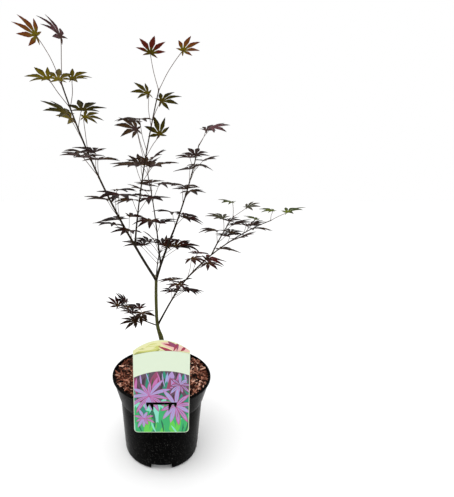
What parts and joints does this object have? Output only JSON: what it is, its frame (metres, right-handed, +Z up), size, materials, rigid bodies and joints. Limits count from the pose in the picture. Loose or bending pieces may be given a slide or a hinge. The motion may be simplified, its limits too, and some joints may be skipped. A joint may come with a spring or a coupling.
{
  "type": "potted japanese maple",
  "caption": "Young upright maple with slim forked stems and layered star-shaped leaves, in a round black nursery pot with bark mulch and a hanging label card.",
  "frame": {"origin": "middle of the pot's flat underside, on the surface it stands on", "axes": "+Z up along the trunk, -Y towards the label card, +X to the right as seen from the card"},
  "size_m": [0.4613, 0.2815, 0.7305],
  "materials": {
    "black_plastic": "blown black polypropylene, satin",
    "bark_mulch": "loose red-brown bark chips, rough",
    "printed_card": "printed card with a smooth coating",
    "young_bark": "smooth olive green young bark",
    "bough_bark": "smooth dark brown bark",
    "leaf": "dull dark red leaf"
  },
  "bodies": {
    "root": {"pot": "black_plastic", "soil": "bark_mulch", "label_card": "printed_card", "trunk": "young_bark", "bough_left": "bough_bark", "bough_right": "bough_bark", "bough_centre": "bough_bark", "bough_back": "bough_bark", "bough_low_right": "bough_bark", "foliage_left": "leaf", "foliage_centre": "leaf", "foliage_back": "leaf", "foliage_right": "leaf", "foliage_inner": "leaf", "foliage_right_sweep": "leaf", "foliage_low_left": "leaf"}
  },
  "joints": []
}
